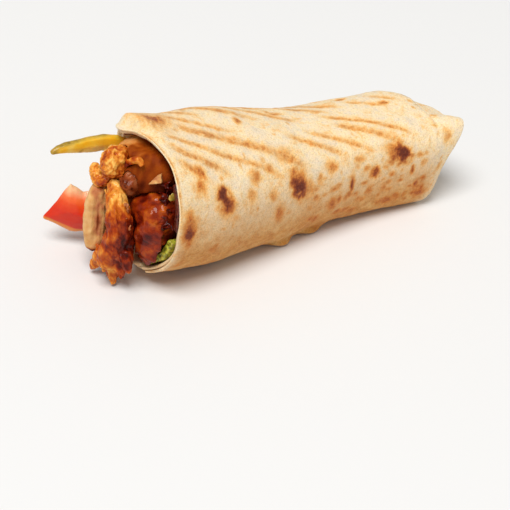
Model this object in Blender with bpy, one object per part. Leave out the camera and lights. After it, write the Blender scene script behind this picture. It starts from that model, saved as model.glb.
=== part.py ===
"""Doner kebab wrap: a flatbread rolled round grilled chicken, salad and pickle.

The roll lies along X with its open mouth at -X and its folded end at +X.
Sizes are millimetres in the roll's own frame: x runs from the mouth, y = 0 is
the mouth's middle, z = TABLE is the table.  At the end the whole wrap is moved
so that the middle of its footprint is the origin, and written in metres.
Angles go round the roll: 0 far side (+Y), 90 top, 180 near side, 270 table.
"""
import math

import bmesh
import bpy
import numpy as np
from mathutils import Matrix, Vector, noise
from mathutils.bvhtree import BVHTree

MM = 0.001

# ---------------------------------------------------------------- driving sizes
ROLL_LENGTH = 190.0
SHEET = 1.7                 # one layer of flatbread
WALL = 2 * SHEET + 0.3      # the two layers seen at the mouth
END_WALL = 15.0             # folded layers that shut the far end
GAP = 0.45                  # clearance between neighbouring pieces
SAG = 1.2                   # how far the roll's weight sinks its axis ...
TABLE = 1.2                 # ... and the height at which the table presses it flat

# x, half width, half height, sideways bow, lift off the table, squareness
STATIONS = (
    (0.0, 38.2, 35.4, -1.0, 7.0, 2.2),
    (25.0, 37.0, 35.1, -0.5, 2.0, 2.2),
    (60.0, 36.0, 33.7, 3.2, 0.0, 2.3),
    (100.0, 33.2, 29.7, 4.4, 0.0, 2.4),
    (140.0, 31.0, 27.7, 3.2, 0.0, 2.7),
    (170.0, 28.0, 25.5, -0.2, 0.5, 3.3),
    (190.0, 20.5, 21.5, -6.5, 1.5, 4.0),
)
SEAM = math.radians(240.0)      # where the outer layer's edge ends, underneath
SEGMENTS = 40                   # points round the roll
HOLLOW_SEGMENTS = 20            # points round the room that the filling takes
RIM_SETBACK = 12.0              # the mouth's far side is further back
END_SLANT = 23.0                # the folded end leans in towards the table
END_DISH = 3.0                  # the near edge of the folded end is drawn in
FLAP_EDGE = 174.0               # edge of the outer layer near the folded end
FLAP_RISE = 2.4
RIM_WAVE = 1.1                  # unevenness of the mouth's edge
LIP = 5.5                       # the mouth's upper lip reaches forward ...
LIP_DROOP = 7.5                 # ... and curls down on to the filling
LIP_BACK = 3.2                  # beside the lip the edge is further back
LOW_LIP = 4.0                   # the edge underneath reaches forward too
MOUTH_LIFT = 5.5                # extra height over the filling at the mouth
CORNER = 4.5                    # the folded end's upper corner sticks out
TUCK = 1.6                      # depth of the pleats in the folded end
SEAM_SLOT = 2e-4                # half the angle of the seam's step
INNER_END = ROLL_LENGTH - END_WALL
OUTSIDE_RINGS = (190.0, 187.5, 183.0, FLAP_EDGE + 1.2, FLAP_EDGE, 166.0, 156.0, 145.0, 133.0, 121.0,
                 110.0, 102.0, 94.0, 86.0, 78.0, 70.0, 60.0, 48.0, 36.0, 25.0, 16.0, 8.5, 4.0, 1.2)
# where the salad lies on the wall: start, stop, lowest and highest angle, depth
LETTUCE = (0.5, 118.0, 194.0, 236.0, 4.4)
ONION = (1.8, 84.0, 142.0, 184.0, 3.6)
HOLLOW_RINGS = (2.6, 14.0, 34.0, 72.0, 116.0, 154.0, INNER_END)


# ------------------------------------------------------------------ small maths
def ease(value, start, stop):
    """0 before start, 1 after stop, smooth between."""
    t = min(max((value - start) / (stop - start), 0.0), 1.0)
    return t * t * (3.0 - 2.0 * t)


def bump(value, middle, spread):
    """1 at the middle, falling to 0 about two spreads away."""
    return math.exp(-((value - middle) / spread) ** 2)


def rough(x, y, z, scale, seed):
    """Smooth noise from -1 to 1 whose lumps are about one scale across."""
    return noise.noise(Vector((x / scale + seed * 7.1, y / scale - seed * 3.7, z / scale)))


def along(x, column):
    """A STATIONS column read at x, on a smooth cubic through the stations."""
    table = np.array(STATIONS)
    xs, ys = table[:, 0], table[:, column]
    slopes = np.gradient(ys, xs)
    i = int(np.clip(np.searchsorted(xs, x) - 1, 0, len(xs) - 2))
    h = xs[i + 1] - xs[i]
    t = (x - xs[i]) / h
    return ((2 * t ** 3 - 3 * t ** 2 + 1) * ys[i] + (t ** 3 - 2 * t ** 2 + t) * h * slopes[i]
            + (3 * t ** 2 - 2 * t ** 3) * ys[i + 1] + (t ** 3 - t ** 2) * h * slopes[i + 1])


def reach(x, angle):
    """Distance from the roll's axis to its skin, a rounded square in section."""
    power = along(x, 5)
    wide = abs(math.cos(angle) / along(x, 1)) ** power
    tall = abs(math.sin(angle) / along(x, 2)) ** power
    return (wide + tall) ** (-1.0 / power)


def axis_height(x):
    return along(x, 2) + along(x, 4) - SAG


# -------------------------------------------------------------- the flatbread
def rim_x(angle):
    """Where the mouth's edge lies along the roll, angle by angle."""
    far = max(math.cos(angle), 0.0) ** 1.4
    turn = math.degrees(angle) % 360.0
    lip = LIP * bump(turn, 56.0, 17.0) - LIP_BACK * bump(turn, 122.0, 38.0)
    lip += LOW_LIP * bump(turn, 250.0, 26.0)
    wave = rough(9 * math.cos(angle), 9 * math.sin(angle), 0.0, 4.5, 1)
    return RIM_SETBACK * far - lip + RIM_WAVE * wave


def skin(u, angle, inset=0.0):
    """A point of the bread: u along the roll, inset below the outer layer."""
    turn = math.degrees(angle) % 360.0
    edge = 1.0 - ease(u, 0.0, 38.0)
    x = u + rim_x(angle) * edge
    r = reach(u, angle)
    # the outer layer winds round once and ends at the seam
    wound = ((angle - SEAM) % (2 * math.pi)) / (2 * math.pi)
    r -= SHEET * (1.0 - wound) * (1.0 - ease(u, 150.0, 186.0))
    # its last fold stands proud over the top until its edge
    hood = bump(turn, 78.0, 34.0) * ease(u, 118.0, 168.0)
    r += FLAP_RISE * hood * (1.0 if u <= FLAP_EDGE else 0.0)
    # the filling lifts the top behind the mouth, whose lip curls down over it
    r += MOUTH_LIFT * bump(turn, 62.0, 36.0) * (1.0 - ease(u, 24.0, 112.0))
    r -= LIP_DROOP * bump(turn, 64.0, 26.0) * (1.0 - ease(u, 0.0, 8.0))
    # the corner of the parcel fold at the shut end
    r += CORNER * bump(turn, 122.0, 15.0) * ease(u, 168.0, ROLL_LENGTH)
    r -= inset
    y = along(u, 3) + r * math.cos(angle)
    z = axis_height(u) + r * math.sin(angle)
    lean = max((u - 120.0) / (ROLL_LENGTH - 120.0), 0.0) ** 2
    x -= END_SLANT * lean * 0.5 * (1.0 - r * math.sin(angle) / along(u, 2))
    x -= END_DISH * lean * bump(turn, 165.0, 30.0)
    if inset == 0.0:
        # hand-rolled unevenness, and two tabs of the edge that show below
        swell = 0.9 * rough(x, y, z, 26.0, 2) * ease(u, 4.0, 30.0)
        y += swell * math.cos(angle)
        z += swell * math.sin(angle)
        under = bump(turn, 236.0, 9.0) if turn < 240.01 else 0.0
        tabs = bump(u, 78.0, 7.5) + 0.8 * bump(u, 98.0, 9.0)
        y -= 8.0 * under * tabs
        z = max(z, TABLE)
    return Vector((x, y, z))


def bread_angles(count=SEGMENTS):
    """Angles once round the roll, from one side of the seam's step to the other."""
    return [SEAM + SEAM_SLOT + (2 * math.pi - 2 * SEAM_SLOT) * k / (count - 1) for k in range(count)]


def hollow_ring(u, clear=0.0, count=SEGMENTS):
    """The inside of the bread at u; clear is an extra inset, angle by angle."""
    inset = WALL + 2.0 * ease(u, 20.0, 150.0) + 3.3 * ease(u, 150.0, INNER_END)
    extra = clear if callable(clear) else (lambda u, angle: clear)
    return [skin(u, a, inset + extra(u, a)) for a in bread_angles(count)]


def bread_rings():
    """Rings from the folded end, over the outside to the rim, and back inside."""
    angles = bread_angles()
    end = [skin(ROLL_LENGTH, a) for a in angles]
    middle = sum(end, Vector()) / len(end)
    rings = []
    # the folded end: the sides are tucked in and dished towards the middle
    for share, sink in ((0.2, 5.5), (0.5, 3.4), (0.78, 0.4), (0.95, -1.0)):
        ring = []
        for a, edge in zip(angles, end):
            tuck = TUCK * math.sin(2.0 * a + 0.6) * share * (1.0 - share) * 4.0
            ring.append(middle.lerp(edge, share) - Vector((sink + tuck, 0.0, 0.0)))
        rings.append(ring)
    for u in OUTSIDE_RINGS:
        rings.append([skin(u, a) for a in angles])
    # the mouth's edge: outer layer, a crease, then the inner layer's own lip
    rings.append([skin(0.0, a, 0.5) for a in angles])
    rings.append([skin(0.2, a, SHEET - 0.1) for a in angles])
    rings.append([skin(2.4, a, SHEET + 0.1) for a in angles])
    for inset, back in ((SHEET + 0.5, 0.0), (WALL - 0.4, 0.2)):
        ring = []
        for a in angles:
            low = bump(math.degrees(a) % 360.0, 250.0, 30.0)
            ring.append(skin(1.2 - 3.0 * low + back, a, inset))
        rings.append(ring)
    for u in HOLLOW_RINGS:
        rings.append(hollow_ring(u))
    return rings


def mesh_from_rings(name, rings):
    """A closed body: neighbouring rings are bridged, the first and last capped."""
    bm = bmesh.new()
    loops = [[bm.verts.new(Vector(p)) for p in ring] for ring in rings]
    count = len(rings[0])
    for one, two in zip(loops, loops[1:]):
        for k in range(count):
            n = (k + 1) % count
            bm.faces.new((one[k], one[n], two[n], two[k]))
    for loop in (loops[0], loops[-1]):
        centre = bm.verts.new(sum((v.co for v in loop), Vector()) / count)
        for k in range(count):
            bm.faces.new((loop[k], loop[(k + 1) % count], centre))
    bmesh.ops.triangulate(bm, faces=bm.faces)
    bmesh.ops.recalc_face_normals(bm, faces=bm.faces)
    if bm.calc_volume(signed=True) < 0.0:
        bmesh.ops.reverse_faces(bm, faces=bm.faces)
    mesh = bpy.data.meshes.new(name)
    bm.to_mesh(mesh)
    bm.free()
    return mesh


# ------------------------------------------------------------------- fillings
def smooth_path(stations, count):
    """Stations of a strand read at even steps, on a smooth cubic."""
    table = np.array(stations, dtype=float)
    at = np.arange(len(table), dtype=float)
    slopes = np.gradient(table, axis=0) if len(table) > 2 else np.diff(table, axis=0).repeat(2, 0)
    rows = []
    for value in np.linspace(0.0, at[-1], count):
        i = min(int(value), len(table) - 2)
        t = value - i
        rows.append((2 * t ** 3 - 3 * t ** 2 + 1) * table[i] + (t ** 3 - 2 * t ** 2 + t) * slopes[i]
                    + (3 * t ** 2 - 2 * t ** 3) * table[i + 1] + (t ** 3 - t ** 2) * slopes[i + 1])
    return np.array(rows)


def lane(u, across, up, wide, tall):
    """A strand's station inside the roll, in shares of the hollow's half sizes."""
    room_y = along(u, 1) - WALL
    room_z = along(u, 2) - WALL
    return (u, along(u, 3) + across * room_y, axis_height(u) + up * room_z,
            wide * room_y, tall * room_z)


def strand(name, stations, count, sides, power=2.4, round_end=0.5, lumps=(0.0, 8.0, 1),
           upright=False, level=False, back_power=None):
    """A lumpy strand swept along its stations: x, y, z, half width, half height.

    upright is for strands that hang down, level keeps the rings of a rising strand
    vertical, back_power squares or points the half that faces +Y.
    """
    path = smooth_path(stations, count)
    spine = path[:, :3]
    tangents = np.gradient(spine, axis=0)
    if level:
        tangents[:, 2] = 0.0
    tangents /= np.linalg.norm(tangents, axis=1)[:, None]
    hint = np.array((1.0, 0.0, 0.0)) if upright else np.array((0.0, 0.0, 1.0))
    amount, scale, seed = lumps
    rings = []

    def ring_at(i, share, slide):
        across = np.cross(tangents[i], hint)
        across /= np.linalg.norm(across)
        up = np.cross(across, tangents[i])
        wide, tall = path[i, 3] * share, path[i, 4] * share
        ring = []
        for k in range(sides):
            turn = 2 * math.pi * k / sides
            c, s = math.cos(turn), math.sin(turn)
            p = back_power if back_power and c * across[1] > 0 else power
            side = math.copysign(abs(c) ** (2 / p), c)
            rise = math.copysign(abs(s) ** (2 / p), s)
            point = spine[i] + tangents[i] * slide + across * side * wide + up * rise * tall
            away = across * side + up * rise
            push = amount * rough(*point, scale, seed) * min(share * 1.3, 1.0)
            ring.append(point + away * push)
        return ring

    reach_out = round_end * min(path[0, 3], path[0, 4])
    for k in (0.92, 0.6):
        rings.append(ring_at(0, math.sqrt(1 - k * k), -k * reach_out))
    for i in range(count):
        rings.append(ring_at(i, 1.0, 0.0))
    reach_out = round_end * min(path[-1, 3], path[-1, 4])
    for k in (0.6, 0.92):
        rings.append(ring_at(-1, math.sqrt(1 - k * k), k * reach_out))
    return add_object(name, mesh_from_rings(name, rings))


def wall_strip(name, place, count, ruffle, seed):
    """A leaf or ring of salad lying on the bread's inner wall between two angles."""
    start, stop, low, high, depth = place
    rings = []
    for u in np.linspace(start, stop, count):
        wave = ruffle * rough(u, 3.0 * seed, 0.0, 9.0, seed)
        edges = []
        for share, inset in ((0, depth), (0.5, depth), (1, depth), (1, 0.6), (0.5, 0.6), (0, 0.6)):
            angle = math.radians(low + (high - low) * share + 3.0 * wave)
            edges.append(skin(u, angle, WALL + 2.0 * ease(u, 20.0, 150.0) + inset))
        rings.append(edges)
    return add_object(name, mesh_from_rings(name, rings))


def hollow(clear):
    """The room inside the bread, flaring open in front of the mouth."""
    places = (INNER_END - 3 * GAP, *reversed(HOLLOW_RINGS[:-1]))
    rings = [hollow_ring(u, clear, HOLLOW_SEGMENTS) for u in places]
    rings.append(hollow_ring(-3.2, clear, HOLLOW_SEGMENTS))

    def flared(u, angle):
        return clear(u, angle) - 30.0

    rings.append(hollow_ring(-4.4, flared, HOLLOW_SEGMENTS))
    rings.append(hollow_ring(-60.0, flared, HOLLOW_SEGMENTS))
    body = add_object("hollow", mesh_from_rings("hollow", rings))
    body.hide_render = True
    body.display_type = "WIRE"
    return body


def beside_bread(u, angle):
    return 2 * GAP


def beside_salad(u, angle):
    """Extra room where the lettuce and the onion lie against the wall."""
    turn = math.degrees(angle) % 360.0
    room = 2 * GAP
    for start, stop, low, high, depth in (LETTUCE, ONION):
        if u < stop + 20.0 and low - 16.0 < turn < high + 16.0:
            room = max(room, depth + 3 * GAP)
    return room


# --------------------------------------------------------- joining and carving
def add_object(name, mesh):
    piece = bpy.data.objects.new(name, mesh)
    bpy.context.collection.objects.link(piece)
    return piece


def bake(piece):
    """Apply a piece's modifiers and drop every chip but the largest body."""
    graph = bpy.context.evaluated_depsgraph_get()
    mesh = bpy.data.meshes.new_from_object(piece.evaluated_get(graph))
    piece.modifiers.clear()
    bm = bmesh.new()
    bm.from_mesh(mesh)
    left = set(bm.verts)
    bodies = []
    while left:
        front = [left.pop()]
        body = set(front)
        while front:
            vert = front.pop()
            for edge in vert.link_edges:
                other = edge.other_vert(vert)
                if other not in body:
                    body.add(other)
                    front.append(other)
        left -= body
        bodies.append(body)
    bodies.sort(key=len)
    for body in bodies[:-1]:
        bmesh.ops.delete(bm, geom=list(body), context="VERTS")
    bmesh.ops.triangulate(bm, faces=bm.faces)
    bm.to_mesh(mesh)
    bm.free()
    piece.data = mesh


def combine(piece, other, operation):
    modifier = piece.modifiers.new("cut", "BOOLEAN")
    modifier.operation = operation
    modifier.object = other
    modifier.use_self = True
    bake(piece)


def fuse(name, parts):
    """Join overlapping strands into one body."""
    first = parts[0]
    for other in parts[1:]:
        combine(first, other, "UNION")
        bpy.data.objects.remove(other)
    first.name = name
    return first


def grown(piece):
    """A cutter: the piece with its skin moved out by the clearance."""
    mesh = piece.data.copy()
    normals = [vert.normal.copy() for vert in mesh.vertices]
    for vert, normal in zip(mesh.vertices, normals):
        vert.co += normal * GAP
    cutter = add_object("cutter", mesh)
    cutter.hide_render = True
    cutter.display_type = "WIRE"
    return cutter


def tree_of(piece):
    bm = bmesh.new()
    bm.from_mesh(piece.data)
    tree = BVHTree.FromBMesh(bm)
    bm.free()
    return tree


def make_room(piece, neighbours):
    """Carve a piece by the neighbours that touch it, each grown by the clearance."""
    for neighbour in neighbours:
        cutter = grown(neighbour)
        if tree_of(piece).overlap(tree_of(cutter)):
            combine(piece, cutter, "DIFFERENCE")
        bpy.data.objects.remove(cutter)


def tidy(piece):
    """Merge the short edges that carving leaves, if the body stays closed."""
    for reach_of_merge, flat in ((0.25, 2.0), (0.15, 0.8), (0.03, 0.1)):
        bm = bmesh.new()
        bm.from_mesh(piece.data)
        bmesh.ops.remove_doubles(bm, verts=bm.verts, dist=reach_of_merge)
        bmesh.ops.dissolve_degenerate(bm, edges=bm.edges, dist=0.02)
        bmesh.ops.dissolve_limit(bm, angle_limit=math.radians(flat), verts=bm.verts, edges=bm.edges)
        bmesh.ops.triangulate(bm, faces=bm.faces)
        closed = all(edge.is_manifold for edge in bm.edges) and all(v.is_manifold for v in bm.verts)
        if closed:
            bm.to_mesh(piece.data)
            bm.free()
            return
        bm.free()


# ------------------------------------------------------------------- materials
def finish(name, colour, roughness):
    material = bpy.data.materials.new(name)
    material.use_nodes = True
    shader = material.node_tree.nodes["Principled BSDF"]
    shader.inputs["Base Color"].default_value = (*colour, 1.0)
    shader.inputs["Roughness"].default_value = roughness
    shader.inputs["Metallic"].default_value = 0.0
    return material


# ------------------------------------------------------------------ the pieces
def make_flatbread():
    return add_object("flatbread", mesh_from_rings("flatbread", bread_rings()))


def make_pickle():
    stations = [(-29.5, 28.0, 58.4, 1.3, 1.2), (-23, 27.8, 59.6, 2.4, 2.6),
                (-12, 27.2, 58.4, 3.0, 3.8), (0, 26.2, 57.8, 3.4, 4.4),
                lane(12, 0.68, 0.46, 0.11, 0.15), lane(26, 0.66, 0.44, 0.10, 0.13)]
    return strand("pickle_strip", stations, 10, 8, power=3.4, back_power=2.0,
                  lumps=(0.4, 7.0, 3))


def make_tomato():
    stations = [(-27.2, 38.0, 15.8, 0.8, 1.2), (-22.2, 34.4, 19.0, 2.8, 6.8),
                (-17, 30.5, 22.7, 4.4, 13.8), (-11.5, 27.5, 20.2, 5.4, 11.6), (-3, 24, 22.0, 6.2, 12.0),
                lane(14, 0.62, -0.42, 0.20, 0.40), lane(28, 0.6, -0.4, 0.10, 0.22)]
    return strand("tomato_wedge", stations, 13, 12, power=1.5, back_power=1.9,
                  round_end=0.4, lumps=(0.2, 9.0, 4), level=True)


def make_slice():
    stations = [(-19.0, 4.8, 30.0, 5.4, 16.5), (-14, 9.0, 29.5, 6.6, 19.0),
                (-5, 13.5, 30.5, 6.2, 18.5), lane(6, 0.40, -0.28, 0.18, 0.50),
                lane(29, 0.34, -0.30, 0.16, 0.40)]
    return strand("chicken_slice", stations, 8, 12, power=2.3, round_end=0.35,
                  lumps=(0.8, 7.0, 5))


def make_front():
    hanging = [(-11, 1.0, 52, 3.0, 3.4), (-14, -6.0, 47, 4.2, 4.8), (-15, -11.5, 41.5, 5.0, 6.2),
               (-15.5, -13.2, 33, 5.4, 7.6), (-16, -12, 23, 5.6, 9.0), (-16.5, -10.0, 15, 4.8, 8.6)]
    body = strand("hanging", hanging, 10, 10, power=2.6, lumps=(1.2, 6.0, 6), upright=True)
    parts = [body]
    torn = (((-18, -3, 17), (-20, 3.0, 4.6), 3.4), ((-16, -9, 15), (-17.5, -11.8, 3.2), 3.6),
            ((-15, -17, 23), (-14.5, -21.0, 14.2), 3.4), ((-17, -6, 15), (-18, -4.5, 6.0), 2.6),
            ((-15, -13, 18), (-15.5, -16.5, 8.5), 3.4))
    for k, (top, tip, size) in enumerate(torn):
        stations = [(*top, size, size * 1.2), (*((np.array(top) + tip) / 2), size, size * 1.1),
                    (*tip, size * 0.35, size * 0.35)]
        parts.append(strand(f"torn_{k}", stations, 4, 6, power=2.2, lumps=(0.7, 4.0, 20 + k),
                            upright=True))
    inward = [(-12, -2, 49, 4.0, 4.6), lane(4, 0.08, 0.12, 0.13, 0.17),
              lane(27, 0.06, 0.04, 0.13, 0.17)]
    parts.append(strand("inward", inward, 4, 8, lumps=(0.8, 6.0, 7)))
    return fuse("chicken_front", parts)


def make_nugget():
    stations = [(-15, 0.0, 62.0, 3.8, 4.6), (-11, 2.8, 61.0, 6.6, 8.4), (-5.5, 5.5, 59.5, 6.4, 7.8),
                (0.5, 9.5, 57.5, 4.0, 5.0)]
    knob = strand("knob", stations, 8, 12, power=2.2, round_end=0.6, lumps=(1.6, 5.0, 8))
    crumb = [(-13.5, 14.5, 55, 1.8, 2.0), (-14, 12.8, 51.5, 2.6, 3.0), (-14.5, 9.0, 49, 2.8, 3.2),
             (-14, 5.0, 51, 2.6, 3.0), (-11, 3.0, 55, 2.4, 2.6)]
    bits = strand("bits", crumb, 8, 8, lumps=(0.7, 4.0, 16), upright=True)
    return fuse("chicken_nugget", [knob, bits])


def make_crisp_strip():
    stations = [(-8.6, 2.6, 56.4, 1.4, 1.8), (-7.2, -1.4, 61.0, 1.6, 1.9), (-6.0, -6.0, 65.6, 1.7, 1.9),
                (-5.0, -9.4, 67.3, 1.8, 1.9), (-4.4, -12.0, 65.8, 1.2, 1.4)]
    return strand("chicken_strip", stations, 9, 8, lumps=(0.3, 4.0, 9), upright=True)


def make_glazed():
    stations = [(-4.0, -14.8, 33.2, 14.0, 17.0), lane(3.0, -0.44, -0.25, 0.46, 0.66),
                lane(14.0, -0.42, -0.28, 0.52, 0.68), lane(50.0, -0.36, -0.36, 0.62, 0.62),
                lane(110.0, -0.30, -0.42, 0.70, 0.58), lane(166.0, -0.15, -0.32, 0.55, 0.42)]
    return strand("chicken_glazed", stations, 10, 12, power=2.7, round_end=0.45,
                  lumps=(1.6, 11.0, 10))


def make_upper():
    stations = [lane(-3.0, -0.16, 0.54, 0.48, 0.34), lane(14.0, 0.08, 0.50, 0.62, 0.46),
                lane(60.0, 0.20, 0.46, 0.70, 0.48), lane(115.0, 0.20, 0.42, 0.72, 0.50),
                lane(166.0, 0.10, 0.34, 0.55, 0.42)]
    return strand("chicken_upper", stations, 7, 10, power=2.7, round_end=0.3,
                  lumps=(1.3, 10.0, 11))


def make_chunk():
    stations = [(-9.0, -6.0, 51, 4.0, 5.0), (-4.5, -3.5, 52.5, 7.0, 8.0), (4, -2, 52, 6.4, 7.2),
                (15, 0, 51, 5.0, 6.0)]
    return strand("chicken_chunk", stations, 7, 8, lumps=(0.9, 5.0, 12))


def make_back():
    """Meat that fills the far side of the mouth behind the tomato."""
    stations = [lane(6.0, 0.10, -0.45, 0.34, 0.42), lane(20.0, 0.30, -0.45, 0.50, 0.48),
                lane(60.0, 0.42, -0.40, 0.46, 0.50), lane(120.0, 0.45, -0.30, 0.40, 0.50),
                lane(160.0, 0.35, -0.20, 0.34, 0.40)]
    return strand("chicken_back", stations, 7, 8, power=2.6, lumps=(1.3, 9.0, 13))


def make_pepper():
    stations = [(2.5, -27.4, 54.8, 1.7, 2.2), (7.0, -26.6, 54.0, 1.7, 2.2)]
    return strand("pepper_piece", stations, 4, 8, power=4.0, round_end=0.4)


PALETTE = {
    "flatbread": ((0.82, 0.66, 0.42), 0.72),
    "pickle_strip": ((0.66, 0.50, 0.08), 0.35),
    "tomato_wedge": ((0.72, 0.09, 0.03), 0.3),
    "lettuce_strip": ((0.30, 0.36, 0.04), 0.45),
    "onion_strip": ((0.22, 0.06, 0.05), 0.4),
    "pepper_piece": ((0.45, 0.50, 0.12), 0.4),
}
MEAT = ((0.38, 0.14, 0.04), 0.35)


def main():
    for old in list(bpy.data.objects):
        bpy.data.objects.remove(old)
    bread = make_flatbread()
    plain_hollow = hollow(beside_bread)
    lined_hollow = hollow(beside_salad)
    lettuce = wall_strip("lettuce_strip", LETTUCE, 16, 1.0, 14)
    onion = wall_strip("onion_strip", ONION, 12, 0.6, 15)
    # what lies in the open mouth, then the meat that fills the rest
    salad = [make_pickle(), make_tomato()]
    front = [make_nugget(), make_front(), make_slice()]
    small = [make_pepper(), make_crisp_strip(), make_chunk()]
    core = [make_glazed(), make_upper(), make_back()]
    for piece in salad + front:
        combine(piece, plain_hollow, "INTERSECT")
    for piece in small + core:
        combine(piece, lined_hollow, "INTERSECT")
    bpy.data.objects.remove(plain_hollow)
    bpy.data.objects.remove(lined_hollow)
    # each piece gives way to the ones before it
    order = salad + front + small + core
    for place, piece in enumerate(order):
        make_room(piece, order[:place])
        tidy(piece)
    order += [bread, lettuce, onion]
    for piece in order:
        colour, roughness = PALETTE.get(piece.name, MEAT)
        piece.data.materials.clear()
        piece.data.materials.append(finish(piece.name, colour, roughness))
        piece.data.shade_smooth()
        piece.data.transform(Matrix.Scale(MM, 4))
    # the middle of the footprint becomes the origin
    corners = np.array([vert.co for piece in order for vert in piece.data.vertices])
    low, high = corners.min(axis=0), corners.max(axis=0)
    wrap = bpy.data.objects.new("wrap", None)
    bpy.context.collection.objects.link(wrap)
    wrap.location = (-(low[0] + high[0]) / 2, -(low[1] + high[1]) / 2, -low[2])
    for piece in order:
        piece.parent = wrap


main()
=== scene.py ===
"""Doner kebab wrap: a grilled flatbread rolled round roasted chicken, with tomato,
pickle and lettuce.  The pieces are made in millimetres in the roll's own frame
(x from the mouth, y = 0 the mouth's middle, z up) and then put in their place.
Angles go round the roll in degrees: 0 far side, 90 top, 180 near side, 270 table.
"""
import math

import bmesh
import bpy
import numpy as np
from mathutils import Matrix, Vector, noise


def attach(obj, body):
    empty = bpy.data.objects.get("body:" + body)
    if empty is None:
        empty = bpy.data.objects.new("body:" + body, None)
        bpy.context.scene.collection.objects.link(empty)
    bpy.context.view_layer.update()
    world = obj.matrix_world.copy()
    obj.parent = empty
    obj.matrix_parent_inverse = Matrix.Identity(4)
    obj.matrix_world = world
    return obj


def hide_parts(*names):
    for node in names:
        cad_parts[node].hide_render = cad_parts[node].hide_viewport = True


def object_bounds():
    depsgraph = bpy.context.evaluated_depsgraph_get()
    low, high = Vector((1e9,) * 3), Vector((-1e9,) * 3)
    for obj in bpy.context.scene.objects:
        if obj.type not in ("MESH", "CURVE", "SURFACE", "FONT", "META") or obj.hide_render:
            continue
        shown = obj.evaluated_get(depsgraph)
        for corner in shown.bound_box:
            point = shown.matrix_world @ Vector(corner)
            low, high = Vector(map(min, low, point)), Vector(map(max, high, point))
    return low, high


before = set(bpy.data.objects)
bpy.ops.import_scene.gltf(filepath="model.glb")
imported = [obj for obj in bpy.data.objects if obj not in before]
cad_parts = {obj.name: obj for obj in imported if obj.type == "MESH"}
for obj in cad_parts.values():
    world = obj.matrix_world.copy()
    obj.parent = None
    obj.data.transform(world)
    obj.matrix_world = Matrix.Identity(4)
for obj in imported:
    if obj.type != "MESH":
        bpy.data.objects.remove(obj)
cad_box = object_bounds()

# --------------------------------------------------------------- the flatbread
# A soft, thin flatbread, rolled a little over once round the filling and folded
# shut like a parcel at the far end.  It was pressed on a ribbed grill, which
# left slanting golden bars and dark blisters.
MM = 0.001
LENGTH = 190.0
SHEET = 1.7                     # one layer of bread
WALL = 2 * SHEET + 0.3          # two layers show at the mouth
END_WALL = 15.0
SAG = 1.2
TABLE = 1.2
SEAM = 240.0                    # where the outer layer's edge ends, underneath
FLAP_EDGE = 174.0               # edge of the last fold near the shut end
DEGREE = 0.58                   # mm round the roll in one degree
# x, half width, half height, sideways bow, lift off the table, squareness
STATIONS = np.array((
    (0.0, 38.2, 35.4, -1.0, 7.0, 2.2),
    (25.0, 37.0, 35.1, -0.5, 2.0, 2.2),
    (60.0, 36.0, 33.7, 3.2, 0.0, 2.3),
    (100.0, 33.2, 29.7, 4.4, 0.0, 2.4),
    (140.0, 31.0, 27.7, 3.2, 0.0, 2.7),
    (170.0, 28.0, 25.5, -0.2, 0.5, 3.3),
    (190.0, 20.5, 21.5, -6.5, 1.5, 4.0),
))


def ease(value, start, stop):
    """0 before start, 1 after stop, smooth between."""
    t = np.clip((value - start) / (stop - start), 0.0, 1.0)
    return t * t * (3.0 - 2.0 * t)


def bump(value, middle, spread):
    """1 at the middle, falling to 0 about two spreads away."""
    return np.exp(-((value - middle) / spread) ** 2)


def grain(points, scale, seed=0, stretch=(1.0, 1.0, 1.0)):
    """Smooth noise from -1 to 1 whose lumps are about one scale across."""
    at = np.asarray(points) / (scale * np.array(stretch)) + np.array((7.1, -3.7, 0.0)) * seed
    flat = [noise.noise(p) for p in at.reshape(-1, 3).tolist()]
    return np.array(flat).reshape(at.shape[:-1])


def along(x, column):
    """A STATIONS column read at x, on a smooth cubic through the stations."""
    xs, ys = STATIONS[:, 0], STATIONS[:, column]
    slopes = np.gradient(ys, xs)
    i = np.clip(np.searchsorted(xs, x) - 1, 0, len(xs) - 2)
    h = xs[i + 1] - xs[i]
    t = (x - xs[i]) / h
    return ((2 * t ** 3 - 3 * t ** 2 + 1) * ys[i] + (t ** 3 - 2 * t ** 2 + t) * h * slopes[i]
            + (3 * t ** 2 - 2 * t ** 3) * ys[i + 1] + (t ** 3 - t ** 2) * h * slopes[i + 1])


def rim_x(turn):
    """Where the mouth's edge lies along the roll, angle by angle."""
    angle = np.radians(turn)
    ring = np.stack([9 * np.cos(angle), 9 * np.sin(angle), 0 * angle], -1)
    far = np.maximum(np.cos(angle), 0.0) ** 1.4
    around = turn % 360.0
    lip = 5.5 * bump(around, 56.0, 17.0) - 3.2 * bump(around, 122.0, 38.0)
    lip += 4.0 * bump(around, 250.0, 26.0)
    return 12.0 * far - lip + 1.1 * grain(ring, 4.5, 1)


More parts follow.
